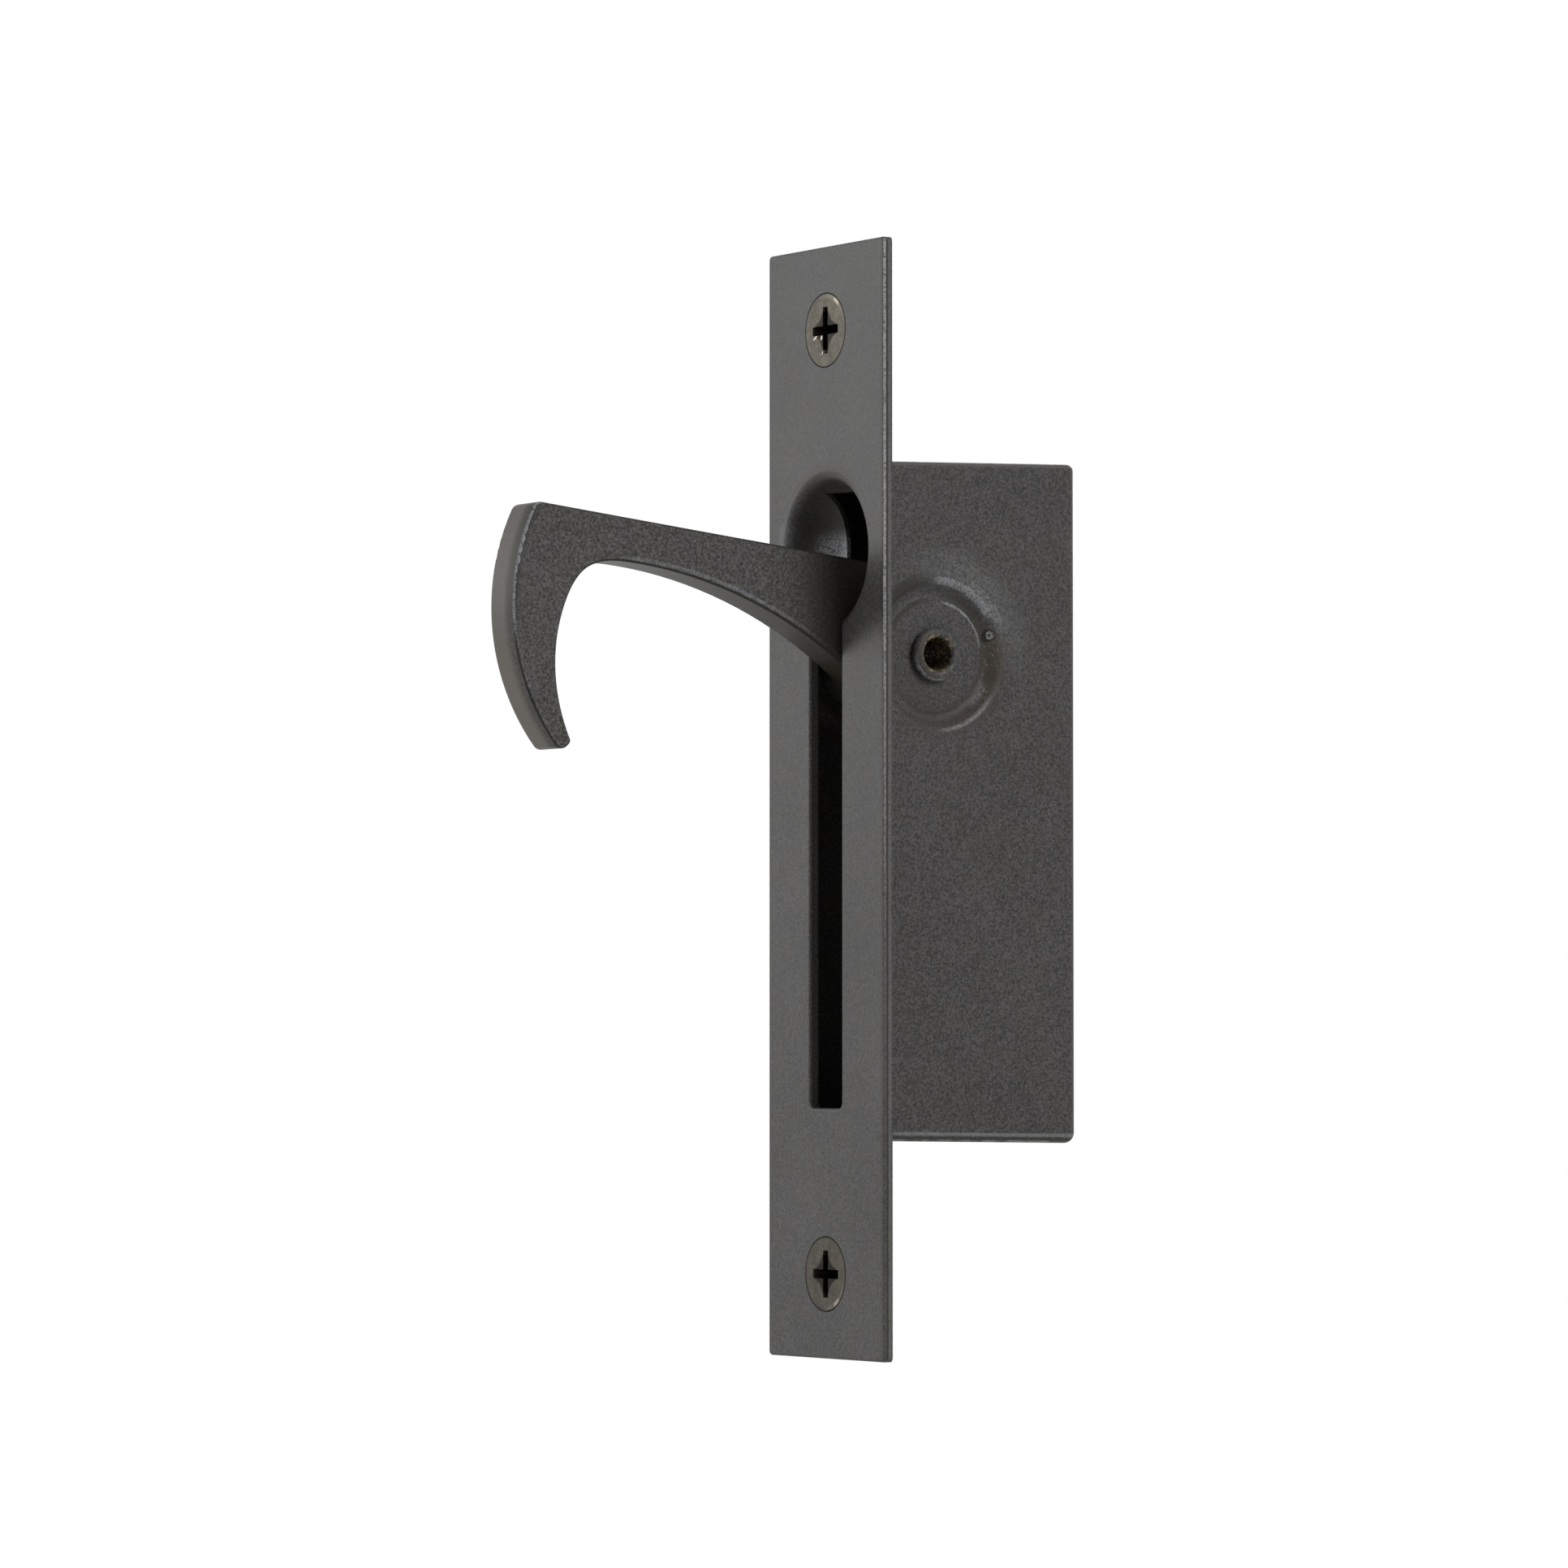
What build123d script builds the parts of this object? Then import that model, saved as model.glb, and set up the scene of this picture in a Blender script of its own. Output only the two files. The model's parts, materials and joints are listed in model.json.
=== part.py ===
from build123d import *
import math
import os

# Sliding door edge pull: a slotted faceplate with a pressed thumb recess, a folded case behind it,
# and a hooked lever that swings on a hollow rivet. Millimetres.
# X runs across the faceplate, -Y out of the door's edge, +Z up. The origin is on the faceplate's
# rear face, midway between its two screws. The lever is modelled swung open.

# Faceplate
plate_length = 98.4
plate_width = 19.05
plate_thickness = 0.9
plate_corner = 0.4
plate_edge_round = 0.25
slot_length = 54.65
slot_centre_z = 0.175
slot_width = 5.2
slot_corner = 0.6
slot_edge_round = 0.25

# Thumb recess, pressed into the faceplate
recess_z = 22.0
recess_depth = 3.95
recess_flat = 2.3
recess_turn = 4.2
recess_lip = 1.0
recess_wall = 0.4
recess_blend = 1.3

# Screws
screw_inset = 7.45
screw_head_diameter = 6.5
screw_head_angle = 82.0
screw_head_land = 0.12
screw_shank_diameter = 3.5
screw_length = 6.3
screw_tip_length = 1.0
screw_tip_radius = 0.8
screw_clearance = 0.1
recess_cross_span = 4.15
recess_cross_width = 0.8
recess_cross_depth = 1.7
recess_cross_taper = 12.0
recess_cross_middle = 1.2

# Case, folded from one sheet
case_height = 59.65
case_depth = 20.85
case_centre_z = -0.16
case_top_rise = 0.6
case_foot_drop = 0.3
sheet = 0.8
case_side_inset = 1.9
case_bend = 0.9
case_top_bend = 0.6
case_inner_bend = 0.1
case_seam = 0.12
braze_leg = 0.5

# Dimple round the pivot, pressed into both sides of the case
dimple_rim_radius = 7.1
dimple_groove_radius = 5.15
dimple_floor_radius = 4.9
dimple_depth = 0.86
dimple_groove = 0.1
dimple_draw = 0.27

# Pivot rivet, hollow with rolled heads
pivot_depth = 6.95
pivot_z = 12.85
rivet_bore_radius = 1.4
rivet_wall = 0.4
rivet_roll_radius = 0.5
rivet_case_clearance = 0.03
rivet_seat_gap = 0.01
rivet_lever_clearance = 0.05

# Lever
lever_side_clearance = 0.5
lever_open_angle = 6.73
lever_proud = 0.92
lever_edge_round = 0.35
lever_slot_clearance = 0.3
hook_radius = 18.9
hook_centre_v = 0.85
hook_corner = 0.9
hook_root_angle = 10.2
hook_root_thickness = 6.97
hook_blade_angle = -6.5
hook_blade_thickness = 5.13
hook_blade_sections = 3
hook_tip_share = 0.02
hook_tip_angle = -48.5
hook_tip_thickness = 1.4
hook_tip_front_round = 0.45
hook_tip_back_round = 0.8
hook_crotch_setback = 3.9
under_top_setback = 5.2
under_top_v = 4.04
hub_radius = 4.5
hub_wrap = 0.7
hub_wrap_start_angle = 225.0
hub_wrap_middle_angle = 250.0
hub_neck_angle = 280.0
hub_neck_round = 3.0
step_start = 1.9
step_end = 4.3
step_round = 1.5
thumb_pad_depth = 2.2
thumb_arm_width = 3.3
thumb_stop_gap = 0.2
thumb_corner = 1.0

# Washers on the rivet
washer_thickness = 0.5
wave_height = 0.5
wave_thickness = 0.25
wave_count = 3
wave_steps = 8
washer_rim = 0.2
face_gap = 0.03

plate_front = -plate_thickness
recess_turn_y = plate_front + recess_depth - recess_turn
recess_lip_y = plate_front + recess_lip
recess_rim = recess_flat + math.sqrt((recess_turn + recess_lip) ** 2 - (recess_lip_y - recess_turn_y) ** 2)
recess_mouth = recess_rim - recess_lip
case_half = plate_width / 2 - case_side_inset
case_inner_half = case_half - sheet
case_rear_inner = case_depth - sheet
rivet_outer_radius = rivet_bore_radius + rivet_wall
lever_thickness = slot_width - 2 * lever_side_clearance
screw_height = plate_length / 2 - screw_inset
floor_x = case_half - dimple_depth
dimple_inner_x = floor_x - sheet
pivot_y = plate_front + pivot_depth
washer_bore_radius = rivet_outer_radius + rivet_lever_clearance
washer_radius = hub_radius - washer_rim


def box_between(low, high):
    """A box from its lowest to its highest corner."""
    size = [b - a for a, b in zip(low, high)]
    centre = [(a + b) / 2 for a, b in zip(low, high)]
    return Pos(*centre) * Box(*size)


def along_y(sketch, low, high):
    """A sketch drawn in X and Z, extruded from y = low to y = high."""
    plane = Plane(origin=(0, high, 0), x_dir=(1, 0, 0), z_dir=(0, -1, 0))
    return extrude(plane * sketch, high - low)


def about_pivot(profile):
    """A closed profile in radius and X, revolved about the pivot's axis."""
    plane = Plane(origin=(0, pivot_y, pivot_z), x_dir=(0, 0, 1), z_dir=(0, 1, 0))
    return revolve(plane * profile, Axis((0, pivot_y, pivot_z), (1, 0, 0)), 360)


def along_pivot(radius, low, high):
    """A cylinder on the pivot's axis from x = low to x = high."""
    turned = Rot(0, 90, 0) * Cylinder(radius, high - low)
    return Pos((low + high) / 2, pivot_y, pivot_z) * turned


def edges_along(shape, axis, test):
    """The straight edges of a shape that run along an axis and pass a test of their centre."""
    return [e for e in shape.edges().filter_by(axis) if test(e.center())]


def slot_outline():
    """The slot in plan, with square corners."""
    return Pos(0, slot_centre_z) * Rectangle(slot_width, slot_length)


def opening_outline():
    """The slot and the round recess in plan, blended where they meet."""
    joined = fillet(slot_outline().vertices(), slot_corner) + Pos(0, recess_z) * Circle(recess_mouth)
    meets = [v for v in joined.vertices() if abs(v.Y - recess_z) < recess_mouth and v.Y < recess_z]
    return fillet(meets, recess_blend)


def about_recess(section):
    """A closed section in radius and Y, revolved about the recess's axis."""
    plane = Plane(origin=(0, 0, recess_z), x_dir=(1, 0, 0), z_dir=(0, 0, 1))
    return revolve(plane * section, Axis((0, 0, recess_z), (0, 1, 0)), 360)


def recess_bowl():
    """The pressed bowl in section: a flat middle, a round turn up its side and a round lip on the plate."""
    reach = recess_turn + recess_lip
    meet = (recess_flat + recess_turn * (recess_rim - recess_flat) / reach,
            recess_turn_y + recess_turn * (recess_lip_y - recess_turn_y) / reach)
    bottom = plate_front + recess_depth
    outer_turn = recess_turn + recess_wall
    outer_rim = recess_flat + math.sqrt(outer_turn ** 2 - recess_turn_y ** 2)
    with BuildSketch() as section:
        with BuildLine():
            Line((0, bottom), (recess_flat, bottom))
            RadiusArc((recess_flat, bottom), meet, recess_turn)
            RadiusArc(meet, (recess_rim, plate_front), -recess_lip)
            Polyline((recess_rim, plate_front), (recess_rim, 0), (outer_rim, 0))
            RadiusArc((outer_rim, 0), (recess_flat, bottom + recess_wall), -outer_turn)
            Polyline((recess_flat, bottom + recess_wall), (0, bottom + recess_wall), (0, bottom))
        make_face()
    return about_recess(section.sketch)


def slot_round_on_lip(side):
    """What carries the slot's rounded front edge on over the recess's lip, where it runs out by itself."""
    edge = side * slot_width / 2
    corner = Pos(edge + side * slot_edge_round / 2, plate_front + slot_edge_round / 2)
    corner *= Rectangle(slot_edge_round, slot_edge_round)
    corner -= Pos(edge + side * slot_edge_round, plate_front + slot_edge_round) * Circle(slot_edge_round)
    return Pos(0, 0, recess_z - recess_rim) * extrude(corner, recess_rim - recess_mouth + recess_blend)


def screw_places():
    """The heights of the lower and the upper screw."""
    return [-screw_height, screw_height]


def head_cone(radius, z):
    """A countersunk head's form at the faceplate's front: a thin land, then a cone."""
    shank = screw_shank_diameter / 2
    depth = (radius - shank) / math.tan(math.radians(screw_head_angle / 2))
    with BuildSketch() as section:
        with BuildLine():
            Polyline((0, 0), (radius, 0), (radius, screw_head_land), (shank, screw_head_land + depth),
                     (0, screw_head_land + depth), close=True)
        make_face()
    plane = Plane(origin=(0, plate_front, z), x_dir=(1, 0, 0), z_dir=(0, 0, 1))
    return revolve(plane * section.sketch, Axis((0, 0, z), (0, 1, 0)), 360)


def faceplate():
    """The stamped plate with its slot, thumb recess and countersunk holes."""
    outline = fillet(Rectangle(plate_width, plate_length).vertices(), plate_corner)
    slot = fillet(slot_outline().vertices(), slot_corner)
    plate = along_y(outline - slot, plate_front, 0)
    front = plate.faces().sort_by(Axis.Y)[0]
    plate = fillet(front.outer_wire().edges(), plate_edge_round)
    front = plate.faces().filter_by(Axis.Y).sort_by(Axis.Y)[0]
    plate = fillet(front.inner_wires()[0].edges(), slot_edge_round)
    plate -= along_y(Pos(0, recess_z) * Circle(recess_rim), plate_front, 0)
    through = (opening_outline() - Pos(0, recess_z) * Circle(recess_mouth)) + slot_outline()
    plate += recess_bowl() - along_y(through, plate_front, recess_depth)
    for side in (-1, 1):
        plate -= slot_round_on_lip(side)
    for z in screw_places():
        plate -= head_cone(screw_head_diameter / 2 + screw_clearance, z)
        hole = Circle(screw_shank_diameter / 2 + screw_clearance)
        plate -= along_y(Pos(0, z) * hole, plate_front, 0)
    return plate


def dimple_section(side):
    """The pressed dimple's sheet in radius and X: a flat floor, a fine groove round it and a soft wall."""
    face = side * case_half
    floor = side * floor_x
    groove = side * (floor_x - dimple_groove)
    hole = rivet_outer_radius + rivet_case_clearance
    inner_rim = dimple_rim_radius - dimple_draw
    inner_floor = dimple_floor_radius + dimple_draw
    back_face = face - side * sheet
    back_floor = floor - side * sheet
    with BuildSketch() as section:
        with BuildLine():
            Spline((dimple_rim_radius, face), (dimple_groove_radius, groove), tangents=[(-1, 0), (-1, 0)])
            Polyline((dimple_groove_radius, groove), (dimple_floor_radius, floor), (hole, floor),
                     (hole, back_floor), (inner_floor, back_floor))
            Spline((inner_floor, back_floor), (inner_rim, back_face), tangents=[(1, 0), (1, 0)])
            Polyline((inner_rim, back_face), (dimple_rim_radius, back_face), (dimple_rim_radius, face))
        make_face()
    return section.sketch


def case_block(half, front, rear, inset):
    """The case's outer form, or its hollow when inset by the sheet; it opens out a little rearwards."""
    def corner(end, y):
        opened = case_top_rise if end > 0 else case_foot_drop
        return (y, case_centre_z + end * (case_height / 2 + opened * y / case_depth - inset))

    with BuildSketch() as side:
        with BuildLine():
            Polyline(corner(-1, front), corner(-1, rear), corner(1, rear), corner(1, front), close=True)
        make_face()
    return extrude(Plane.YZ * side.sketch, half, both=True)


def case():
    """The folded sheet case, open at the front, with a dimple in each side and its top brazed on."""
    top = case_centre_z + case_height / 2
    foot = case_centre_z - case_height / 2
    seam_end = case_rear_inner - case_bend
    shell = case_block(case_half, 0, case_depth, 0)
    shell = fillet(edges_along(shell, Axis.Z, lambda c: c.Y > case_depth / 2), case_bend)
    lower = shell.faces().sort_by(Axis.Z)[0].edges()
    shell = fillet([e for e in lower if e.center().Y > case_depth / 4], case_bend)
    upper = edges_along(shell, Axis.X, lambda c: c.Y > case_depth / 2 and c.Z > case_centre_z)
    shell = fillet(upper, case_top_bend)
    hollow = case_block(case_inner_half, -sheet, case_rear_inner, sheet)
    shell -= fillet(edges_along(hollow, Axis.Z, lambda c: c.Y > case_depth / 2), case_inner_bend)
    for side in (-1, 1):
        low, high = sorted((side * case_half, side * (dimple_inner_x - sheet)))
        keep = box_between((low, 0, foot), (high, case_depth, top))
        shell -= along_pivot(dimple_rim_radius, low, high) & keep
        shell += about_pivot(dimple_section(side)) & keep
        low, high = sorted((side * case_inner_half, side * (case_inner_half - case_seam)))
        shell -= box_between((low, 0, top - 2 * sheet), (high, seam_end, top + 2 * sheet))
    low, high = -case_inner_half, case_seam - case_inner_half
    shell -= box_between((low, 0, foot - 2 * sheet), (high, seam_end, foot + 2 * sheet))
    return shell + braze(top)


def braze(top):
    """The small concave braze fillet where the case's top meets the faceplate."""
    half = case_inner_half - case_seam
    with BuildSketch() as section:
        with BuildLine():
            Polyline((0, braze_leg), (0, -sheet / 2), (braze_leg, -sheet / 2), (braze_leg, 0))
            RadiusArc((braze_leg, 0), (0, braze_leg), -braze_leg)
        make_face()
    plane = Plane(origin=(-half, 0, top), x_dir=(0, 1, 0), z_dir=(1, 0, 0))
    return extrude(plane * section.sketch, 2 * half)


def lever_plane():
    """The lever's own plane: the pivot at its origin, u out along the straight edge, v up from it."""
    a = math.radians(lever_open_angle)
    return Plane(origin=(0, pivot_y, pivot_z), x_dir=(0, -math.cos(a), math.sin(a)), z_dir=(-1, 0, 0))


def hook_centre_u():
    """The hook's back is an arc that just passes the slot's lower end as the lever swings."""
    slot_foot = slot_centre_z - slot_length / 2
    reach = math.hypot(pivot_y, pivot_z - slot_foot) - lever_slot_clearance
    return math.sqrt((reach - hook_radius) ** 2 - hook_centre_v ** 2)


def rounded(sketch, corners):
    """A sketch with the corner nearest to each given point rounded by its radius."""
    for point, radius in corners:
        near = min(sketch.vertices(), key=lambda v: math.dist((v.X, v.Y), point))
        sketch = fillet(near, radius)
    return sketch


def lever_outline():
    """The lever's side view: straight edge, hook, curved underside, hub and thumb arm."""
    edge = pivot_depth + lever_proud
    pad = pivot_y - thumb_pad_depth
    wrap = hub_radius + hub_wrap
    a = math.radians(lever_open_angle)
    tip = (case_rear_inner - thumb_stop_gap - pivot_y - pad * math.sin(a)) / math.cos(a)
    back_u = hook_centre_u()

    def on_circle(radius, angle):
        return (radius * math.cos(math.radians(angle)), radius * math.sin(math.radians(angle)))

    def hook_back(v):
        return (back_u + math.sqrt(hook_radius ** 2 - (v - hook_centre_v) ** 2), v)

    def hook_front(thickness, angle):
        u, v = on_circle(hook_radius - thickness, angle)
        return (back_u + u, hook_centre_v + v)

    def blade_front(share):
        thickness = hook_blade_thickness + share * (hook_tip_thickness - hook_blade_thickness)
        return hook_front(thickness, hook_blade_angle + share * (hook_tip_angle - hook_blade_angle))

    corner = hook_back(edge)
    tip_back = hook_front(0, hook_tip_angle)
    root = hook_front(hook_root_thickness, hook_root_angle)
    blade = [blade_front(k / hook_blade_sections) for k in range(hook_blade_sections + 1)]
    tip_front = blade[-1]
    tip_way = [b - a for a, b in zip(blade_front(1 - hook_tip_share), tip_front)]
    heel = on_circle(wrap, hub_wrap_start_angle)
    neck = on_circle(wrap, hub_neck_angle)
    under_top_u = root[0] - under_top_setback
    rise = under_top_v - neck[1]
    under_radius = ((under_top_u - neck[0]) ** 2 + rise ** 2) / (2 * rise)

    def under(u):
        return (u, under_top_v - under_radius + math.sqrt(under_radius ** 2 - (u - under_top_u) ** 2))

    crotch = under(root[0] - hook_crotch_setback)
    crotch_way = (crotch[1] - under_top_v + under_radius, under_top_u - crotch[0])
    arm = [(-step_start, edge), (-step_end, pad), (-tip, pad), (-tip, pad - thumb_arm_width)]
    with BuildSketch() as outline:
        with BuildLine():
            Polyline(corner, *arm, heel)
            ThreePointArc(heel, on_circle(wrap, hub_wrap_middle_angle), neck)
            ThreePointArc(neck, under((neck[0] + crotch[0]) / 2), crotch)
            Spline(crotch, root, *blade, tangents=[crotch_way, tip_way], tangent_scalars=[1, 1])
            Line(tip_front, tip_back)
            ThreePointArc(tip_back, hook_back(hook_centre_v), corner)
        make_face()
    return rounded(outline.sketch, [
        (corner, hook_corner), (tip_front, hook_tip_front_round), (tip_back, hook_tip_back_round),
        (arm[0], step_round), (arm[1], step_round), (arm[2], thumb_corner), (arm[3], thumb_corner),
        (heel, step_round), (neck, hub_neck_round)])


def lever():
    """The cast lever: a flat hooked blade with rounded edges and a hub on the rivet."""
    outline = lever_outline()
    blade = extrude(lever_plane() * outline, lever_thickness / 2, both=True)
    rims = blade.faces().filter_by(Axis.X)
    blade = fillet([e for f in rims for e in f.edges()], lever_edge_round)
    right = dimple_inner_x - washer_thickness - face_gap
    left = dimple_inner_x - washer_thickness - wave_height - face_gap
    blade += along_pivot(hub_radius, -left, right)
    return blade - along_pivot(rivet_outer_radius + rivet_lever_clearance, -case_half, case_half)


def pivot_rivet():
    """The hollow rivet: a thin tube whose ends are rolled outwards on to the dimples' floors."""
    mid = rivet_bore_radius + rivet_roll_radius
    end = floor_x + rivet_seat_gap
    wall = Rectangle(rivet_wall, 2 * (end + rivet_roll_radius))
    tube = about_pivot(Pos((rivet_bore_radius + rivet_outer_radius) / 2, 0) * wall)
    for side in (-1, 1):
        ring = Pos(mid, side * (end + rivet_roll_radius)) * Circle(rivet_roll_radius)
        tube += about_pivot(ring)
    return tube


def flat_washer(low):
    """A flat friction washer on the rivet, from x = low."""
    high = low + washer_thickness
    return along_pivot(washer_radius, low, high) - along_pivot(washer_bore_radius, low, high)


def wave_washer(low):
    """A spring washer on the rivet, from x = low: a thin ring that waves from side to side."""
    swing = (wave_height - wave_thickness) / 2
    steps = wave_steps * wave_count
    inner, outer = washer_bore_radius, washer_radius

    def ridge(radius, offset):
        points = []
        for k in range(steps):
            turn = 2 * math.pi * k / steps
            x = low + wave_height / 2 + offset + swing * math.sin(wave_count * turn)
            points.append((x, pivot_y + radius * math.cos(turn), pivot_z + radius * math.sin(turn)))
        return Spline(*points, periodic=True)

    half = wave_thickness / 2
    rails = [ridge(inner, -half), ridge(outer, -half), ridge(outer, half), ridge(inner, half)]
    walls = [Face.make_surface_from_curves(rails[k].edge(), rails[(k + 1) % 4].edge()) for k in range(4)]
    return Solid(Shell(walls))


def cross_recess(z):
    """The head's cross-shaped driver recess, narrowing as it goes in."""
    cross = Rectangle(recess_cross_span, recess_cross_width)
    cross += Rectangle(recess_cross_width, recess_cross_span)
    cross += Rot(0, 0, 45) * Rectangle(recess_cross_middle, recess_cross_middle)
    plane = Plane(origin=(0, plate_front, z), x_dir=(1, 0, 0), z_dir=(0, 1, 0))
    return extrude(plane * cross, recess_cross_depth, taper=recess_cross_taper)


def screw(z):
    """A countersunk screw: cross-recessed head flush with the plate, shank and a short taper at its end."""
    head = head_cone(screw_head_diameter / 2, z)
    radius = screw_shank_diameter / 2
    end = plate_front + screw_length
    with BuildSketch() as section:
        with BuildLine():
            Polyline((0, plate_front + screw_head_land), (radius, plate_front + screw_head_land),
                     (radius, end - screw_tip_length), (screw_tip_radius, end), (0, end), close=True)
        make_face()
    plane = Plane(origin=(0, 0, z), x_dir=(1, 0, 0), z_dir=(0, 0, 1))
    shank = revolve(plane * section.sketch, Axis((0, 0, z), (0, 1, 0)), 360)
    return head + shank - cross_recess(z)


def main():
    os.makedirs("parts", exist_ok=True)
    lower, upper = screw_places()
    pieces = {
        "faceplate": faceplate(),
        "case": case(),
        "lever": lever(),
        "pivot_rivet": pivot_rivet(),
        "right_washer": flat_washer(dimple_inner_x - washer_thickness),
        "left_washer": flat_washer(-dimple_inner_x + wave_height),
        "wave_washer": wave_washer(-dimple_inner_x),
        "upper_screw": screw(upper),
        "lower_screw": screw(lower),
    }
    for name, solid in pieces.items():
        export_step(solid, f"parts/{name}.step")


main()
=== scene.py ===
import json
import math

import bmesh
import bpy
import numpy as np
from mathutils import Matrix, Vector


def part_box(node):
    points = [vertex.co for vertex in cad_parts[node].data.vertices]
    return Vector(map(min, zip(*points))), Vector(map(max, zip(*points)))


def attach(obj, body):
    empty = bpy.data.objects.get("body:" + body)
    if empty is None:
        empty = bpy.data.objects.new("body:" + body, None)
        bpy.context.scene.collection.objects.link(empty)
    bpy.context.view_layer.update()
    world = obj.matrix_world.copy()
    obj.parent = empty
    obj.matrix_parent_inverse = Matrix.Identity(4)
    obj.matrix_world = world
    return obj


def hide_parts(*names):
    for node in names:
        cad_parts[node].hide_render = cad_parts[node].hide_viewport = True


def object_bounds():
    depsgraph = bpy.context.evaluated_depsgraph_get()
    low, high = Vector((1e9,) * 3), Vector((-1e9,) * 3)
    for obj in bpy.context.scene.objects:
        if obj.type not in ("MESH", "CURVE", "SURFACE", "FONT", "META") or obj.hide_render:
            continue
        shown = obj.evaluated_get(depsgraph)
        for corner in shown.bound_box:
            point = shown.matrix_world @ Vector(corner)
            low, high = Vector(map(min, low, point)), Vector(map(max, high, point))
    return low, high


MM = 0.001

# Camera, as fitted to the photograph. Lengths in millimetres, angles in degrees.
CAMERA_AZIMUTH = 57.985
CAMERA_ELEVATION = -2.2
CAMERA_DISTANCE = 624.1
CAMERA_LENS = 161.96
CAMERA_SENSOR = 36.0
CAMERA_TARGET_RIGHT = -4.38
CAMERA_TARGET_UP = 1.512
CAMERA_TARGET_BACK_Y = -0.05

# Sizes in millimetres, and the bead's angle in degrees, that the finishes and the added pieces follow.
# A centre is a pair: y, z.
SCREW_HEAD_RADIUS = 3.25
SCREW_HEAD_END = 1.0
SCREW_CROSS_SPAN = 4.15
SCREW_SHANK_RADIUS = 1.75
SCREW_THREAD_START = 1.05
SCREW_THREAD_PITCH = 1.3
SCREW_THREAD_DEPTH = 0.45
SCREW_THREAD_RUN_IN = 0.5
SCREW_TIP_RADIUS = 0.8
SCREW_TIP_LENGTH = 1.0
RIVET_BORE_RADIUS = 1.4
RECESS_Z = 22.0
LEVER_HALF_THICKNESS = 2.1
HOOK_CENTRE = (-14.94, 16.18)
HOOK_RADIUS = 18.9
UNDERSIDE_CENTRE = (-26.22, -23.59)
UNDERSIDE_RADIUS = 44.0
CASE_SIDE_INSET = 1.9
CASE_TOP_RISE = 0.6
CASE_FOOT_DROP = 0.3
DIMPLE_RIM_RADIUS = 7.1
DIMPLE_GROOVE_RADIUS = 5.15
DIMPLE_DEPTH = 0.86
DIMPLE_GROOVE = 0.1
PIP_RADIUS_FROM_PIVOT = 5.96
PIP_ANGLE = 17.9
PIP_RADIUS = 0.46
PIP_HEIGHT = 0.24
PIP_ROOT_DEPTH = 0.05
FLOOR_RADIUS = 300.0
FLOOR_FADE = 170.0
FLOOR_Z = -100.0

# Shares: of the thread's pitch in its ridge, of its depth left at the tip, of a shank's radius kept inside
# the thread, of the bead's height and radius in its pit, and of that radius at the innermost ring of points.
SCREW_RIDGE_SHARE = 0.7
SCREW_TIP_DEPTH_SHARE = 0.4
SCREW_CORE_SHRINK = 0.3
PIP_PIT_DEPTH = 0.55
PIP_PIT_RADIUS = 0.35
PIP_INNER_RING = 0.08

# Burrs on the upper screw's head: place across and up from its middle, slope in degrees, half length and
# half width.
SCREW_BURRS = (
    (-1.68, -0.58, 28.0, 0.36, 0.09),
    (-0.64, -0.64, 60.0, 0.24, 0.11),
    (-0.34, -1.85, 48.0, 0.42, 0.08),
)

# Corners of triangles that are closer than this many metres are joined, and edges that bend by more than this
# many degrees stay sharp.
WELD_DISTANCE = 1e-7
CREASE_ANGLE = 28.0

# Coats. The first four are the colours of whole pieces, and the rest lie over them in places.
PLATE_COLOUR = (0.1, 0.0995, 0.0975)
CASE_COLOUR = (0.076, 0.074, 0.0735)
LEVER_COLOUR = (0.101, 0.0985, 0.0965)
RIVET_COLOUR = (0.074, 0.073, 0.075)
# Olive is painted shade, warm brown a brown tinge and painted shade, and the pale three painted light.
OLIVE_SHADE = (0.034, 0.032, 0.024, 1)
WARM_BROWN = (0.064, 0.051, 0.041, 1)
WARM_LIGHT = (0.195, 0.18, 0.162, 1)
PALE_HIGHLIGHT = (0.34, 0.35, 0.37, 1)
BRIGHT_HIGHLIGHT = (0.5, 0.52, 0.57, 1)

# What a coat's colour is multiplied by in its dark specks, its light ones in two tints, and its flecks.
DARK_SPECK = (0.45, 0.45, 0.45)
VIOLET_SPECK = (1.78, 1.72, 1.83)
OLIVE_SPECK = (1.74, 1.76, 1.64)
BRIGHT_FLECK = (2.7, 2.7, 2.7)

# Gloss of the coats, their orange peel's size in millimetres, and how far the speckle moves their roughness.
COAT_GLOSS = 0.2
LEVER_GLOSS = 0.12
PEEL_SIZE = 0.48
ROUGHNESS_SPREAD = 0.25

# Bare and plated metals, with painted highlights for edges and rims and painted shade for bore and cross.
EDGE_HIGHLIGHT = (0.58, 0.58, 0.59, 1)
TARNISHED_BRASS = (0.34, 0.28, 0.16, 1)
BORE_BLACK = (0.02, 0.016, 0.01, 1)
BORE_BRASS = (0.5, 0.38, 0.2, 1)
DARK_BRONZE = (0.033, 0.0295, 0.0225, 1)
LIGHT_BRONZE = (0.078, 0.07, 0.054, 1)
BRONZE_HIGHLIGHT = (0.42, 0.37, 0.28, 1)
TORN_BRONZE = (0.42, 0.38, 0.31, 1)
CROSS_BLACK = (0.006, 0.005, 0.003, 1)
DARK_STEEL = (0.25, 0.25, 0.24, 1)
LIGHT_STEEL = (0.42, 0.42, 0.4, 1)

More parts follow.
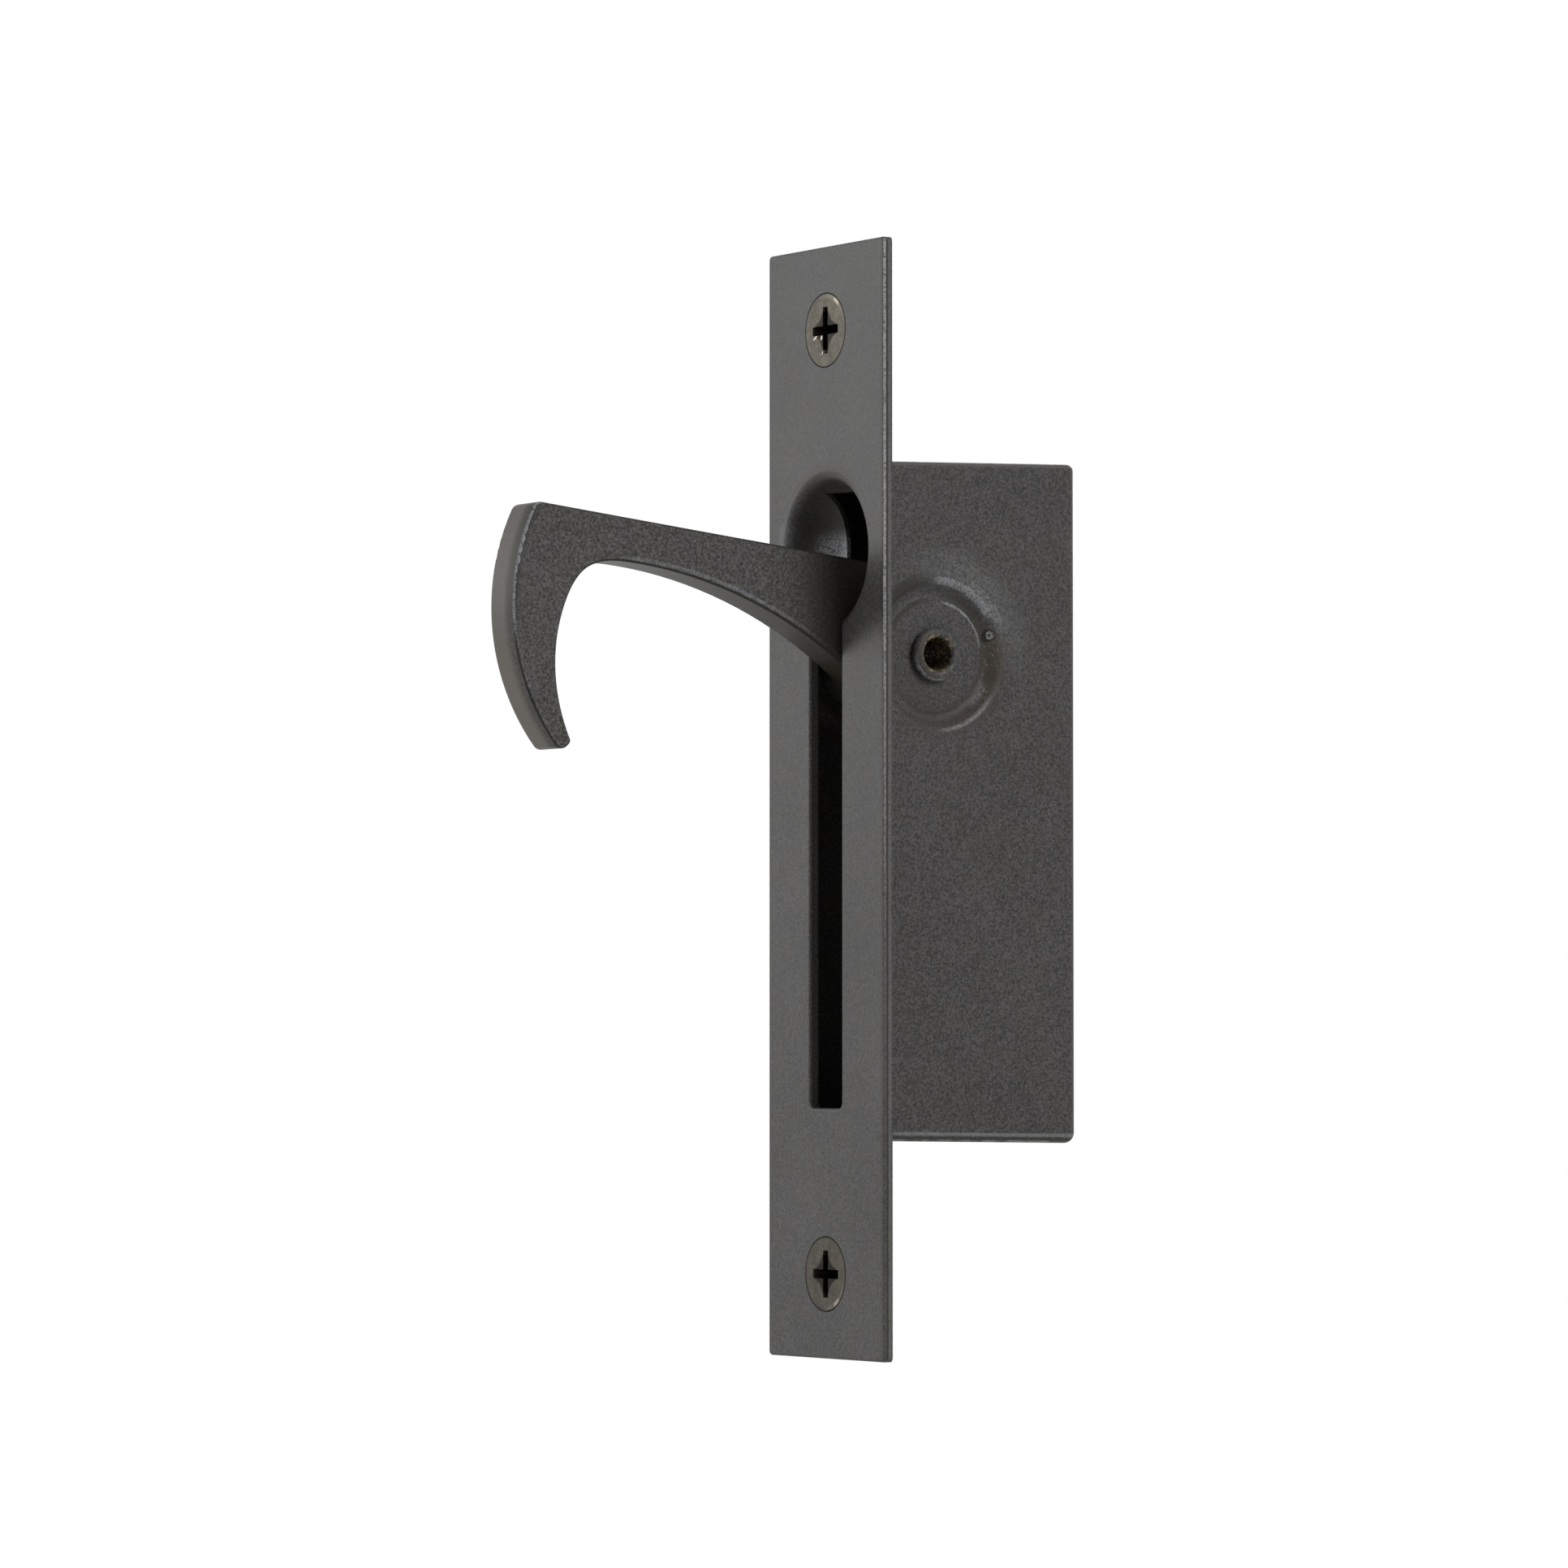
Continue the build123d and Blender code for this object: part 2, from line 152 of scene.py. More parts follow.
# Light: the room's strength, and each soft lamp's name, place and size in metres, and watts.
ROOM_STRENGTH = 0.15
ROOM_TINT = (1.0, 0.95, 0.86, 1)
LAMP_AIM = (0, 0, 0.01)
LAMPS = (
    ("front_left_box", (-0.36, -0.36, 0.14), (0.2, 0.24), 0.88),
    ("side_box", (0.5, 0.12, 0.28), (0.26, 0.26), 1.4),
    ("front_high_box", (-0.1, -0.48, 0.3), (0.12, 0.12), 0.25),
    ("back_left_box", (-0.36, 0.42, 0.2), (0.3, 0.3), 1.7),
)
FLOOR_GREY = (0.84, 0.84, 0.835, 1)
FLOOR_WHITE = (0.88, 0.88, 0.875, 1)

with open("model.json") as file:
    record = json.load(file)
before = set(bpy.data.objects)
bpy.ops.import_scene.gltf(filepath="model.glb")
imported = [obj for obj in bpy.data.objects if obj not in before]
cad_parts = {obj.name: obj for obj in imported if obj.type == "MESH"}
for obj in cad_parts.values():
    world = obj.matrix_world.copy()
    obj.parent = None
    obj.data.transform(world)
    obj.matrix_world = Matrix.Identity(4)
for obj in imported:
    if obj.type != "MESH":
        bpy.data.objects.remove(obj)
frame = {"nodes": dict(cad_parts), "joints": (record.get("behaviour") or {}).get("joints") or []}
cad_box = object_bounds()
pivot = Vector(frame["joints"][0]["pos_m"]) / MM


class Wire:
    """One output socket of a shader node. Arithmetic on wires adds Math nodes."""

    def __init__(self, paint, socket):
        self.paint = paint
        self.socket = socket

    def maths(self, operation, first, second=0.0):
        return self.paint.add("ShaderNodeMath", {"operation": operation}, {0: first, 1: second})

    def __add__(self, other):
        return self.maths("ADD", self, other)

    def __radd__(self, other):
        return self.maths("ADD", other, self)

    def __sub__(self, other):
        return self.maths("SUBTRACT", self, other)

    def __rsub__(self, other):
        return self.maths("SUBTRACT", other, self)

    def __mul__(self, other):
        return self.maths("MULTIPLY", self, other)

    def __rmul__(self, other):
        return self.maths("MULTIPLY", other, self)

    def __truediv__(self, other):
        return self.maths("DIVIDE", self, other)

    def __rtruediv__(self, other):
        return self.maths("DIVIDE", other, self)

    def __abs__(self):
        return self.maths("ABSOLUTE", self)

    def above(self, other):
        return self.maths("MAXIMUM", self, other)

    def below(self, other):
        return self.maths("MINIMUM", self, other)

    def power(self, other):
        return self.maths("POWER", self, other)

    def ramp(self, start, full):
        """0 at start and 1 at full, with a soft step between and level beyond. Either may be the larger."""
        return self.paint.add("ShaderNodeMapRange", {"interpolation_type": "SMOOTHSTEP"},
                              {"Value": self, "From Min": start, "From Max": full})


class Paint:
    """A material being mixed: its node tree, and the one way in which a node is added to it."""

    def __init__(self, name):
        self.material = bpy.data.materials.new(name)
        self.material.use_nodes = True
        self.tree = self.material.node_tree
        self.tree.nodes.clear()
        self.place = self.add("ShaderNodeTexCoord", out="Object")

    def add(self, kind, settings=None, sockets=None, out=0):
        """Adds a node with its settings, then its sockets' values or links, and gives one of its outputs."""
        node = self.tree.nodes.new(kind)
        for name, value in (settings or {}).items():
            setattr(node, name, value)
        for name, value in (sockets or {}).items():
            self.feed(node.inputs[name], value)
        return Wire(self, node.outputs[out])

    def feed(self, socket, value):
        if isinstance(value, Wire):
            self.tree.links.new(value.socket, socket)
        else:
            socket.default_value = value

    def axes(self):
        """The place on the object in millimetres, as three wires."""
        node = self.add("ShaderNodeSeparateXYZ", None, {0: self.place}).socket.node
        return [Wire(self, output) / MM for output in node.outputs]

    def noise(self, size_mm, detail=2.0, roughness=0.5, seed=0.0):
        """Smooth noise from 0 to 1 whose lumps are about size_mm across."""
        return self.add("ShaderNodeTexNoise", {"noise_dimensions": "4D"},
                        {"Vector": self.place, "W": seed, "Scale": 1 / (size_mm * MM), "Detail": detail,
                         "Roughness": roughness})

    def mix(self, factor, first, second):
        """A colour that goes from first to second with the factor."""
        return self.add("ShaderNodeMix", {"data_type": "RGBA"}, {0: factor, 6: first, 7: second}, 2)

    def bump(self, height, depth_mm):
        """A normal that follows the height, whose 1 stands depth_mm above its 0."""
        sockets = {"Height": height, "Distance": depth_mm * MM, "Strength": 1.0}
        return self.add("ShaderNodeBump", None, sockets)

    def finish(self, **sockets):
        """Closes the material. A socket is named in small letters, as in base_color."""
        proper = {}
        for name, value in sockets.items():
            proper[name.replace("_", " ").title().replace("Ior", "IOR")] = value
        self.add_output(self.add("ShaderNodeBsdfPrincipled", None, proper))
        return self.material

    def add_output(self, surface):
        output = self.tree.nodes.new("ShaderNodeOutputMaterial")
        self.tree.links.new(surface.socket, output.inputs["Surface"])


# From here on, every length that a coat or a plating is painted by is in millimetres.


def distance(first, second):
    """The distance that two legs at a right angle span."""
    return (first * first + second * second).power(0.5)


def about_pivot(paint):
    """Distance from the pivot's axis, and the cosine and sine of the way from it (rear, up)."""
    x, y, z = paint.axes()
    rear, up = y - pivot.y, z - pivot.z
    reach = distance(rear, up).above(0.001)
    return reach, rear / reach, up / reach


def beyond_arc(y, z, centre, radius):
    """How far a place lies outside an arc of the lever's outline."""
    return distance(y - centre[0], z - centre[1]) - radius


def band(value, low, high, soft):
    """1 between low and high and 0 outside, with a fade as wide as soft at each end."""
    return value.ramp(low - soft, low) * value.ramp(high + soft, high)


def ring_part(polar, ring, soft, aim, start, full):
    """A stretch of a ring round the pivot: between its two radii, on the side of aim (rear, up).

    The cosine between the way and the aim is start where the stretch begins and full where it is strongest.
    """
    reach, rear, up = polar
    return band(reach, *ring, soft) * (rear * aim[0] + up * aim[1]).ramp(start, full)


def times(colour, shares):
    """A colour with its red, green and blue each multiplied by a share."""
    return tuple(part * share for part, share in zip(colour, shares)) + (1,)


def coat_shade(paint, colour, grain_mm, contrast, flecks):
    """A powder coat's speckled colour with bright flecks and violet and olive clouds, and the speckle."""
    speckle = paint.noise(grain_mm, detail=4.0, roughness=0.85)
    cloud = paint.noise(9.0, detail=3.0, seed=4.0)
    tone = (speckle - 0.5) * contrast + 0.45 + (cloud - 0.5) * 0.25
    tint = paint.noise(3.2, seed=31.0).ramp(0.36, 0.64)
    light = paint.mix(tint, times(colour, VIOLET_SPECK), times(colour, OLIVE_SPECK))
    shade = paint.mix(tone.ramp(0.0, 1.0), times(colour, DARK_SPECK), light)
    fleck = paint.noise(0.16, detail=1.0, seed=21.0).ramp(0.66, 0.76)
    return paint.mix(fleck * flecks, shade, times(colour, BRIGHT_FLECK)), speckle


def highlight_specks(paint):
    """How strongly a painted highlight shows: fine specks from 0.15 to 1.35."""
    return paint.noise(0.18, roughness=0.6, seed=23.0).ramp(0.35, 0.65) * 1.2 + 0.15


def coat_finish(paint, shade, speckle, roughness, depth_mm, gloss=COAT_GLOSS):
    """Closes a coat: orange peel over the speckle, and a roughness that follows it."""
    peel = paint.noise(PEEL_SIZE, seed=8.0)
    relief = paint.bump(speckle * 0.5 + peel * 0.5, depth_mm)
    rough = roughness + (speckle - 0.5) * ROUGHNESS_SPREAD
    return paint.finish(base_color=shade, roughness=rough, normal=relief, specular_ior_level=gloss)


def plate_coat():
    """The faceplate's satin coat: fine, with painted shade and painted highlights on its edges and in its
    recess.
    """
    paint = Paint("plate_satin_coat")
    shade, speckle = coat_shade(paint, PLATE_COLOUR, grain_mm=0.2, contrast=2.6, flecks=0.2)
    x, y, z = paint.axes()
    sparkling = highlight_specks(paint)
    shade = plate_edge_shade(paint, shade, sparkling)
    # Painted shade on all that lies behind the front face: the recess's wall and floor, and the rear.
    shade_behind_front = y.ramp(-0.5, 1.2)
    shade = paint.mix(shade_behind_front * 0.45, shade, OLIVE_SHADE)
    # A painted highlight on the lip left of the recess.
    over_recess = z - RECESS_Z
    lip_reach = distance(x, over_recess)
    lip_highlight = band(lip_reach, 6.6, 7.7, soft=0.5) * x.ramp(0.0, -2.0)
    lip_highlight = lip_highlight * band(over_recess, -1.5, 2.2, soft=1.2)
    shade = paint.mix((lip_highlight * sparkling * 0.3).below(0.6), shade, PALE_HIGHLIGHT)
    # Painted shade in warm brown over the recess's top lip.
    lip_top_shade = band(lip_reach, 6.2, 7.6, soft=0.6) * over_recess.ramp(4.0, 6.4)
    shade = paint.mix(lip_top_shade * 0.35, shade, WARM_BROWN)
    # A painted highlight on the recess's floor above the lever.
    floor_highlight = y.ramp(1.0, 2.6) * z.ramp(24.8, 22.4) * sparkling
    shade = paint.mix((floor_highlight * 1.1).below(0.8), shade, BRIGHT_HIGHLIGHT)
    return coat_finish(paint, shade, speckle, roughness=0.42, depth_mm=0.012)


def plate_edge_shade(paint, shade, sparkling):
    """The plate's long edges: painted shade in olive lines on face and wall, and painted highlights on wall
    and corner.
    """
    x, y, z = paint.axes()
    inward = cad_box[1].x / MM - abs(x)
    wall = inward.ramp(0.06, 0.01)
    # Painted shade by the edge on face and wall, and a painted highlight as a pale line on the wall.
    shade = paint.mix(band(inward, 0.27, 0.45, soft=0.08) * 0.45, shade, OLIVE_SHADE)
    shade = paint.mix(band(y, -0.62, -0.48, soft=0.05) * wall * 0.8, shade, OLIVE_SHADE)
    shade = paint.mix(band(y, -0.36, -0.18, soft=0.06) * wall * 0.2, shade, PALE_HIGHLIGHT)
    # A painted highlight along the front corner, stronger towards the top.
    corner = band(inward, 0.01, 0.1, soft=0.03) * y.ramp(-0.62, -0.7) * z.ramp(-32.0, 46.0)
    return paint.mix((corner * sparkling).below(0.9), shade, EDGE_HIGHLIGHT)


def case_coat():
    """The case's textured coat: painted shade and highlights in its dimple, on its folded edges and bead, and
    dust in the dimple.
    """
    paint = Paint("case_textured_coat")
    shade, speckle = coat_shade(paint, CASE_COLOUR, grain_mm=0.22, contrast=4.5, flecks=0.6)
    polar = about_pivot(paint)
    sparkling = highlight_specks(paint)
    shade = dimple_shade_and_dust(paint, shade, polar)
    shade = dimple_highlights(paint, shade, polar, sparkling)
    shade = case_edge_shade(paint, shade, speckle)
    shade = pip_shade(paint, shade, sparkling)
    return coat_finish(paint, shade, speckle, roughness=0.45, depth_mm=0.018)


def dimple_shade_and_dust(paint, shade, polar):
    """The dimple's dark places: painted shade in olive on its floor, wall and rings, a brown tinge and brass
    dust at its rear.
    """
    reach, rear, up = polar
    # Painted shade on the floor's lower front and on the wall's upper rear.
    low_floor = (reach * (rear * 0.6 + up * 0.8)).ramp(1.0, -5.0) * reach.ramp(5.3, 5.0)
    shade = paint.mix(low_floor * 0.3, shade, OLIVE_SHADE)
    wall_foot = band(reach, 5.2, 5.85, soft=0.3) * (rear * 0.9 + up * 0.42).above(0).power(1.5)
    shade = paint.mix((wall_foot * 1.1).below(0.96), shade, OLIVE_SHADE)
    low_rear = ring_part(polar, ring=(5.5, 6.9), soft=1.1, aim=(0.6, -0.7), start=-0.1, full=0.8)
    far_rear = ring_part(polar, ring=(6.0, 6.8), soft=0.2, aim=(0.99, -0.1), start=0.85, full=0.98)
    shade = paint.mix((low_rear * 0.45).above(far_rear * 0.8), shade, WARM_BROWN)
    dusty = ring_part(polar, ring=(5.3, 6.4), soft=0.2, aim=(0.98, -0.17), start=0.8, full=0.97)
    brass_dust = dusty * paint.noise(0.3, detail=3.0, roughness=0.75, seed=13.0).ramp(0.56, 0.66)
    shade = paint.mix(brass_dust * 0.6, shade, TARNISHED_BRASS)
    # Painted shade in the grooves and on the rim at the front and below.
    front_groove = ring_part(polar, ring=(4.65, 5.0), soft=0.12, aim=(-0.6, 0.8), start=0.78, full=0.97)
    front_rim = ring_part(polar, ring=(6.35, 7.2), soft=0.3, aim=(-0.6, 0.8), start=0.78, full=0.97)
    low_groove = ring_part(polar, ring=(5.15, 5.45), soft=0.1, aim=(0.0, -1.0), start=0.82, full=0.98)
    return paint.mix((front_groove + front_rim + low_groove * 0.6) * 0.85, shade, OLIVE_SHADE)


def dimple_highlights(paint, shade, polar, sparkling):
    """The dimple's painted highlights: its shoulders, a glint on its wall, a soft glow round it and the
    floor's crease.
    """
    reach, rear, up = polar
    upper = ring_part(polar, ring=(6.35, 6.7), soft=0.26, aim=(0.47, 0.88), start=0.82, full=0.93)
    shoulder = ring_part(polar, ring=(6.7, 7.4), soft=0.3, aim=(0.74, 0.67), start=0.86, full=0.97)
    glow = ring_part(polar, ring=(6.9, 8.2), soft=2.2, aim=(0.6, 0.8), start=0.3, full=0.95)
    wall_glint = ring_part(polar, ring=(5.75, 5.9), soft=0.3, aim=(0.8, -0.6), start=0.965, full=0.998)
    wider_at_front = (reach + rear * 0.1, rear, up)
    lower = ring_part(wider_at_front, ring=(6.66, 6.8), soft=0.16, aim=(0.5, -0.87), start=0.86, full=0.97)
    wider_at_rear = (reach - rear * 0.46, rear, up)
    crease = ring_part(wider_at_rear, ring=(4.52, 4.68), soft=0.08, aim=(0.7, 0.7), start=0.75, full=0.95)
    highlight = (upper * 1.35).above(shoulder * 0.45).above(lower * 0.6).above(wall_glint * 0.4).above(crease)
    return paint.mix((highlight.above(glow * 0.2) * sparkling).below(0.9), shade, PALE_HIGHLIGHT)


def case_edge_shade(paint, shade, speckle):
    """Painted shade and highlight lines along the case's folded edges. Its top rises and its foot drops
    evenly from plate to rear.
    """
    x, y, z = paint.axes()
    low, high = (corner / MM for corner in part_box("case"))
    to_rear = 1 - y / high.y
    over_foot = z - low.z - to_rear * CASE_FOOT_DROP
    under_top = high.z - z - to_rear * CASE_TOP_RISE
    from_rear = high.y - y
    # Painted shade and painted highlights on the foot's bend, with a broken highlight at the very foot.
    shade = paint.mix(band(over_foot, 0.22, 0.38, soft=0.06) * 0.45, shade, OLIVE_SHADE)
    shade = paint.mix(band(over_foot, 0.6, 0.72, soft=0.18) * speckle, shade, PALE_HIGHLIGHT)
    patchy = paint.noise(1.3, roughness=0.6, seed=17.0).ramp(0.4, 0.55)
    shade = paint.mix(band(over_foot, 0.03, 0.16, soft=0.05) * patchy * 0.6, shade, PALE_HIGHLIGHT)
    # A painted highlight under the top edge, and painted shade by the rear bend.
    shade = paint.mix(band(under_top, 0.14, 0.3, soft=0.07) * 0.5, shade, WARM_LIGHT)
    return paint.mix(band(from_rear, 0.24, 0.4, soft=0.1) * 0.4, shade, OLIVE_SHADE)


def pip_shade(paint, shade, sparkling):
    """The bead on the right dimple's wall: a painted highlight on its rim, painted shade in its middle and
    round it.
    """
    x, y, z = paint.axes()
    pip_y, pip_z = pip_place()
    from_pip = distance(y - pip_y, z - pip_z)
    right_side = x.ramp(0.0, 1.0)
    rim = band(from_pip, 0.2, 0.34, soft=0.07) * sparkling * 0.65
    shade = paint.mix(rim * right_side, shade, PALE_HIGHLIGHT)
    dark = from_pip.ramp(0.17, 0.1) + band(from_pip, 0.44, 0.56, soft=0.06) * 0.6
    return paint.mix(dark * right_side, shade, OLIVE_SHADE)


def pip_place():
    """Where the bead's middle is, y and z in millimetres."""
    turn, reach = math.radians(PIP_ANGLE), PIP_RADIUS_FROM_PIVOT
    return pivot.y + reach * math.cos(turn), pivot.z + reach * math.sin(turn)


def lever_coat():
    """The casting's coat: painted highlight and shade lines by its edges, painted light on its hook's back,
    and painted shade at its root.
    """
    paint = Paint("lever_textured_coat")
    shade, speckle = coat_shade(paint, LEVER_COLOUR, grain_mm=0.24, contrast=4.6, flecks=0.5)
    x, y, z = paint.axes()
    from_face = LEVER_HALF_THICKNESS - abs(x)
    sparkling = highlight_specks(paint)
    hook_back = beyond_arc(y, z, HOOK_CENTRE, HOOK_RADIUS).ramp(-0.6, -0.4)
    elsewhere = 1 - hook_back
    over_curve = beyond_arc(y, z, UNDERSIDE_CENTRE, UNDERSIDE_RADIUS)
    high_up = z.ramp(12.5, 16.0)
    low_down = 1 - high_up
    back_shadow = band(x, 0.7, 1.72, soft=0.4) * (high_up * 0.5 + 0.38)
    back_shadow = back_shadow + band(from_face, 0.01, 0.04, soft=0.02) * high_up * 0.5
    back_shadow = back_shadow + band(from_face, 0.15, 0.3, soft=0.05) * low_down * 0.6
    underside = over_curve.ramp(0.5, 0.1) * from_face.ramp(0.15, 0.4) * y.ramp(-24.0, -15.0)
    edge_shadow = (band(from_face, 0.07, 0.3, soft=0.05) * 0.8).above(underside * 0.85)
    shade = paint.mix((back_shadow * hook_back + edge_shadow * elsewhere).below(0.95), shade, OLIVE_SHADE)
    # Painted light on the hook's back, more towards its lower end.
    hook_back_light = hook_back * (z.ramp(16.0, 9.0) * 0.33 + 0.65) * x.ramp(1.5, -0.1)
    shade = paint.mix(hook_back_light, shade, WARM_LIGHT)
    # A painted highlight along the hook's back edges.
    back_edge_highlight = band(from_face, 0.08, 0.25, soft=0.04) * high_up
    back_edge_highlight = back_edge_highlight + band(from_face, 0.02, 0.07, soft=0.02) * low_down * 0.25
    shade = paint.mix((back_edge_highlight * hook_back * sparkling * 0.85).below(0.8), shade, BRIGHT_HIGHLIGHT)
    # A painted highlight along the underside's curved edge.
    curve_highlight = band(over_curve, 0.24, 0.5, soft=0.1) * from_face.ramp(0.14, 0.06) * y.ramp(-24.0, -21.0)
    shade = paint.mix((curve_highlight * elsewhere * sparkling * 0.45).below(0.6), shade, PALE_HIGHLIGHT)
    # Painted shade where the lever enters the plate.
    root = y.ramp(-9.0, -1.5)
    shade = paint.mix(root * 0.8, shade, OLIVE_SHADE)
    return coat_finish(paint, shade, speckle, roughness=0.42, depth_mm=0.016, gloss=LEVER_GLOSS)


def rivet_coat():
    """The rivet: coated outside, with bare brass in its bore painted near black as shade and flecked with
    brass.
    """
    paint = Paint("rivet_coat_over_brass")
    shade, speckle = coat_shade(paint, RIVET_COLOUR, grain_mm=0.34, contrast=4.0, flecks=0.6)
    polar = about_pivot(paint)
    reach = polar[0]
    # A brown tinge on the front half of the ring.
    front = ring_part(polar, ring=(1.5, 2.2), soft=0.1, aim=(-1.0, 0.0), start=-0.2, full=0.9)
    shade = paint.mix(front * 0.7, shade, WARM_BROWN)
    # A painted highlight on the roll's lower front.
    low_roll = ring_part(polar, ring=(2.24, 2.36), soft=0.06, aim=(-0.5, -0.87), start=0.35, full=0.95)
    shade = paint.mix((low_roll * highlight_specks(paint) * 0.8).below(0.8), shade, PALE_HIGHLIGHT)
    # Painted shade round the bore's mouth.
    shade = paint.mix(band(reach, RIVET_BORE_RADIUS, 1.6, soft=0.06) * 0.5, shade, OLIVE_SHADE)
    glint = paint.noise(0.3, detail=3.0, roughness=0.75, seed=11.0).ramp(0.5, 0.62)
    shade = paint.mix(band(reach, RIVET_BORE_RADIUS, 1.75, soft=0.1) * glint, shade, TARNISHED_BRASS)
    bore = reach.ramp(RIVET_BORE_RADIUS + 0.08, RIVET_BORE_RADIUS + 0.02)
    shade = paint.mix(bore, shade, paint.mix(glint, BORE_BLACK, BORE_BRASS))
    rough = 0.42 + (speckle - 0.5) * ROUGHNESS_SPREAD
    return paint.finish(base_color=shade, metallic=bore * glint, roughness=rough,
                        normal=paint.bump(speckle, 0.016), specular_ior_level=COAT_GLOSS)


def bronze():
    """Antique bronze plating on the screws: a painted highlight on the rim, painted shade at its edge and in
    the cross, and torn burrs.
    """
    paint = Paint("antique_bronze")
    cloud = paint.noise(1.1, detail=3.0, roughness=0.55)
    grain = paint.noise(0.24, detail=3.0, roughness=0.7, seed=3.0)
    shade = paint.mix((cloud * 0.4 + grain * 0.6).ramp(0.36, 0.64), DARK_BRONZE, LIGHT_BRONZE)
    x, y, z = paint.axes()
    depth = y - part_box("upper_screw")[0].y / MM
    up = abs(z) - screw_height()
    reach = distance(x, up)
    # A painted highlight on the rim's upper rear.
    rim = reach.ramp(SCREW_HEAD_RADIUS - 0.55, SCREW_HEAD_RADIUS - 0.1)
    upper_rear = (x * 0.59 + up * 0.81) / reach.above(0.001)
    highlight = rim * upper_rear.ramp(0.7, 0.97) * 0.14 + rim * upper_rear.ramp(0.985, 0.998) * 0.6
    shade = paint.mix(highlight, shade, BRONZE_HIGHLIGHT)
    # Painted shade in the gap round the head.
    gap = reach.ramp(SCREW_HEAD_RADIUS - 0.16, SCREW_HEAD_RADIUS - 0.05)
    shade = paint.mix(gap * 0.8, shade, OLIVE_SHADE)
    # Painted shade in the cross and in a star round its middle.
    inside_cross = reach.ramp(SCREW_CROSS_SPAN / 2 + 0.2, SCREW_CROSS_SPAN / 2 + 0.05)
    star = abs(x * up).ramp(1.0, 0.72) * reach.ramp(1.95, 1.6) * y.ramp(SCREW_HEAD_END, 0.5)
    sunk = depth.ramp(0.04, 0.3) * inside_cross
    shade = paint.mix((sunk * 0.6).above(star * 0.97), shade, CROSS_BLACK)
    burrs = torn_burrs(x, z - screw_height()) * depth.ramp(0.5, 0.2)
    shade = paint.mix(burrs * 0.85, shade, TORN_BRONZE)
    return paint.finish(base_color=shade, metallic=0.85 + star * 0.15, roughness=0.36 + grain * 0.18,
                        normal=paint.bump(grain, 0.006))


def screw_height():
    """How far in millimetres each screw's middle is above or below the object's origin."""
    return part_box("upper_screw")[0].z / MM + SCREW_HEAD_RADIUS


def torn_burrs(across, up):
    """Bright torn metal on the upper screw's head: each burr is a slanting ellipse that fades at its rim."""
    found = 0.0
    for burr_x, burr_z, slope, half_length, half_width in SCREW_BURRS:
        lean = math.radians(slope)
        right, above = across - burr_x, up - burr_z
        along = (right * math.cos(lean) + above * math.sin(lean)) / half_length
        over = (above * math.cos(lean) - right * math.sin(lean)) / half_width
        found = found + (along * along + over * over).ramp(1.3, 0.5)
    return found.below(1.0)


def steel():
    """Plain oiled steel for the washers."""
    paint = Paint("oiled_steel")
    grain = paint.noise(0.2)
    shade = paint.mix(grain, DARK_STEEL, LIGHT_STEEL)
    return paint.finish(base_color=shade, metallic=1.0, roughness=0.3 + grain * 0.2)


def smooth_copy(node, body, material):
    """A copy of a CAD node with its triangles joined, so that its curves shade as curves."""
    mesh = frame["nodes"][node].data.copy()
    mesh.materials.clear()
    work = bmesh.new()
    work.from_mesh(mesh)
    bmesh.ops.remove_doubles(work, verts=work.verts, dist=WELD_DISTANCE)
    work.to_mesh(mesh)
    work.free()
    stored = mesh.attributes.get("custom_normal")
    if stored:
        mesh.attributes.remove(stored)
    piece = bpy.data.objects.new(f"{node}_skin", mesh)
    bpy.context.scene.collection.objects.link(piece)
    mesh.polygons.foreach_set("use_smooth", np.ones(len(mesh.polygons), bool))
    mesh.set_sharp_from_angle(angle=math.radians(CREASE_ANGLE))
    weighted = piece.modifiers.new("flat faces stay flat", "WEIGHTED_NORMAL")
    weighted.mode = "FACE_AREA"
    weighted.weight = 90
    weighted.keep_sharp = True
    mesh.materials.append(material)
    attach(piece, body)
    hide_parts(node)
    return piece


def paint_node(node, material):
    """Gives its finish to a node that keeps its own mesh."""
    mesh = frame["nodes"][node].data
    mesh.materials.clear()
    mesh.materials.append(material)


def camera():
    """The photograph's camera: a long lens level with the object, a little in front of its right side."""
    azimuth, elevation = math.radians(CAMERA_AZIMUTH), math.radians(CAMERA_ELEVATION)
    back = Vector((math.sin(azimuth) * math.cos(elevation), -math.cos(azimuth) * math.cos(elevation),
                   math.sin(elevation)))
    right = Vector((math.cos(azimuth), math.sin(azimuth), 0))
    up = back.cross(right)
    target = right * CAMERA_TARGET_RIGHT + up * CAMERA_TARGET_UP + Vector((0, CAMERA_TARGET_BACK_Y, 0))
    data = bpy.data.cameras.new("photo_camera")
    data.sensor_width = CAMERA_SENSOR
    data.lens = CAMERA_LENS
    data.clip_start = 0.01
    thing = bpy.data.objects.new("photo_camera", data)
    turn = Matrix((right, up, back)).transposed().to_4x4()
    thing.matrix_world = Matrix.Translation((target + back * CAMERA_DISTANCE) * MM) @ turn
    bpy.context.scene.collection.objects.link(thing)
    bpy.context.scene.camera = thing


def softbox(name, centre, size, watts):
    """A soft rectangular lamp that faces the object."""
    data = bpy.data.lights.new(name, "AREA")
    data.shape = "RECTANGLE"
    data.size, data.size_y = size
    data.energy = watts
    thing = bpy.data.objects.new(name, data)
    way = (Vector(LAMP_AIM) - Vector(centre)).normalized()
    thing.rotation_euler = way.to_track_quat("-Z", "Y").to_euler()
    thing.location = centre
    bpy.context.scene.collection.objects.link(thing)


